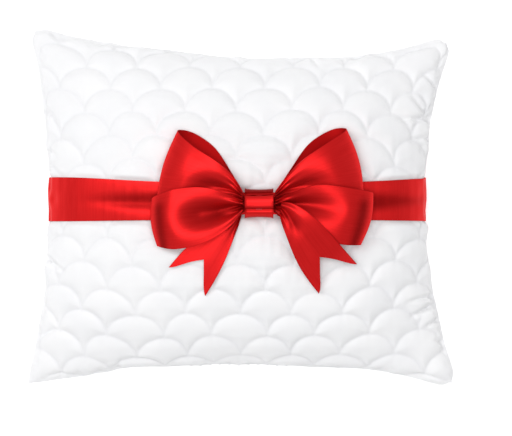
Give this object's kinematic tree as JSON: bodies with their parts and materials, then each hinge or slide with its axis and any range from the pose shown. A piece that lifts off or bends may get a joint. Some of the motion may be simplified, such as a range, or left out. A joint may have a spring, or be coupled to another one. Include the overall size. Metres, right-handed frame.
{
  "type": "ring bearer pillow",
  "caption": "Quilted white ring bearer pillow with a red satin ribbon band round it and a red satin bow whose loops lift and whose tails move.",
  "frame": {"origin": "on the resting surface, under the middle of the pillow's outline", "axes": "+X across the width towards the right of the face, +Y up the face, +Z out of the face"},
  "size_m": [0.24, 0.2, 0.0877],
  "materials": {
    "quilt_cloth": "white microfibre, quilted in overlapping scales, matte with a faint sheen",
    "wadding": "soft matte fleece",
    "lining_cloth": "matte nonwoven",
    "fibre_fill": "loose polyester fibre",
    "white_thread": "twisted polyester thread",
    "red_satin": "glossy satin ribbon",
    "red_thread": "twisted polyester thread"
  },
  "bodies": {
    "pillow": {"front_cover": "quilt_cloth", "front_wadding": "wadding", "front_lining": "lining_cloth", "back_cover": "quilt_cloth", "back_wadding": "wadding", "back_lining": "lining_cloth", "fibre_fill": "fibre_fill", "edge_seam": "white_thread", "closing_seam": "white_thread", "band": "red_satin", "knot_wrap": "red_satin", "bow_core": "red_satin", "gather_thread": "red_thread", "tack_stitches": "red_thread"},
    "left_loops": {"left_upper_loop": "red_satin", "left_lower_loop": "red_satin"},
    "right_loops": {"right_upper_loop": "red_satin", "right_lower_loop": "red_satin"},
    "left_tail": {"left_tail": "red_satin"},
    "right_tail": {"right_tail": "red_satin"}
  },
  "joints": [
    {"name": "left_loops_lift", "type": "hinge", "parent": "pillow", "child": "left_loops", "pos_m": [0.0004, 0.0031, 0.08127], "axis": [0, 1, 0], "range_deg": [0, 35]},
    {"name": "right_loops_lift", "type": "hinge", "parent": "pillow", "child": "right_loops", "pos_m": [0.0224, 0.0031, 0.08127], "axis": [0, -1, 0], "range_deg": [0, 35]},
    {"name": "left_tail_swing", "type": "hinge", "parent": "pillow", "child": "left_tail", "pos_m": [0.0016, -0.0004, 0.0773], "axis": [0, 0, 1], "range_deg": [-8, 8]},
    {"name": "right_tail_lift", "type": "hinge", "parent": "right_loops", "child": "right_tail", "pos_m": [0.0224, 0.0017, 0.08408], "axis": [-0.7709, -0.6369, 0], "range_deg": [0, 30]}
  ]
}
